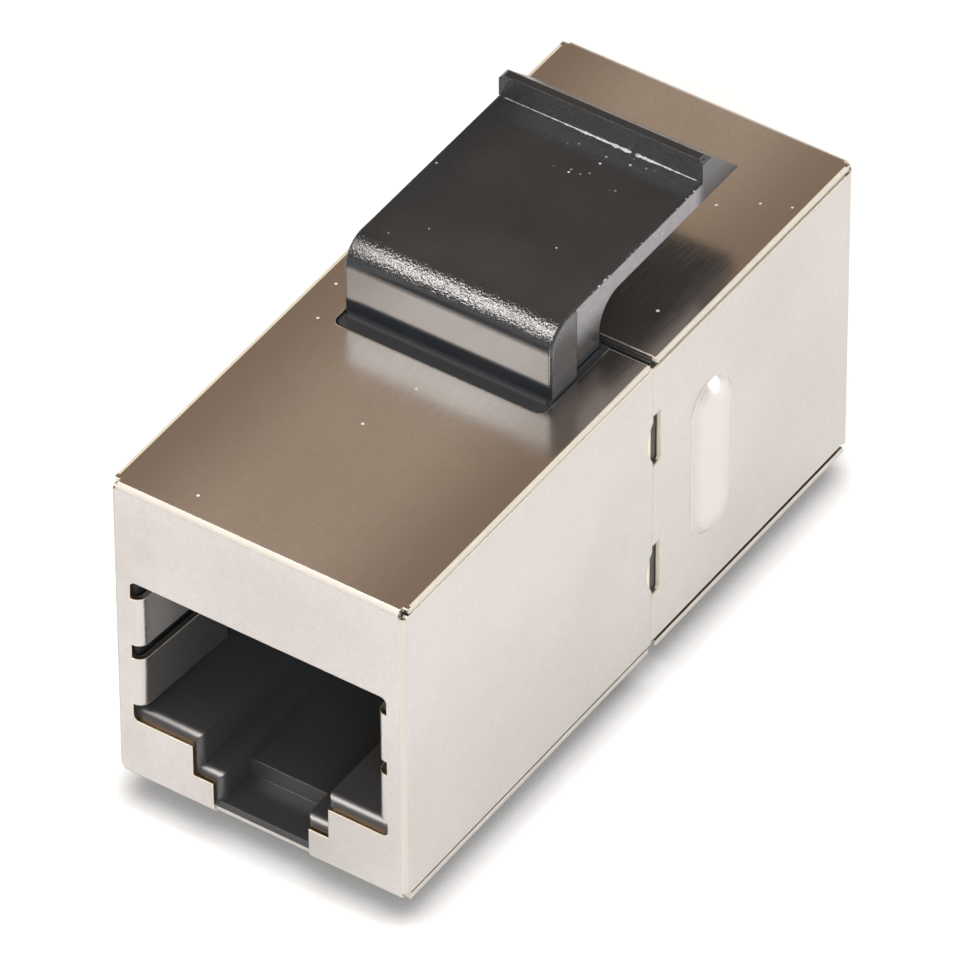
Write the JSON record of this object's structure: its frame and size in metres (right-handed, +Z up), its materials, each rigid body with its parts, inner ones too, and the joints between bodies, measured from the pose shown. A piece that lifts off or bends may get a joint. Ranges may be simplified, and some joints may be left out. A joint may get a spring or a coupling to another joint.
{
  "type": "keystone jack",
  "caption": "Shielded feed-through keystone jack: a folded metal shell round plastic, a modular socket at each end and a black spring latch on top for a keystone opening.",
  "frame": {"origin": "under the middle of the part, at the centre of the box's base, level with the foot of the fixed catch", "axes": "+Z up through the latch, -Y out of the front socket, +Y out of the rear socket, X across"},
  "size_m": [0.0156, 0.0338, 0.0225],
  "materials": {
    "nickel_plate": "satin nickel plating",
    "black_plastic": "satin moulded plastic",
    "carrier_plastic": "matt moulded plastic",
    "board_laminate": "solder mask over laminate",
    "gilt_contact": "gold plating"
  },
  "bodies": {
    "root": {"front_shield": "nickel_plate", "rear_shield": "nickel_plate", "front_housing": "black_plastic", "rear_housing": "black_plastic", "front_contact_carrier": "carrier_plastic", "rear_contact_carrier": "carrier_plastic", "circuit_board": "board_laminate", "front_contact_1": "gilt_contact", "front_contact_2": "gilt_contact", "front_contact_3": "gilt_contact", "front_contact_4": "gilt_contact", "front_contact_5": "gilt_contact", "front_contact_6": "gilt_contact", "front_contact_7": "gilt_contact", "front_contact_8": "gilt_contact", "rear_contact_1": "gilt_contact", "rear_contact_2": "gilt_contact", "rear_contact_3": "gilt_contact", "rear_contact_4": "gilt_contact", "rear_contact_5": "gilt_contact", "rear_contact_6": "gilt_contact", "rear_contact_7": "gilt_contact", "rear_contact_8": "gilt_contact"}
  },
  "joints": []
}
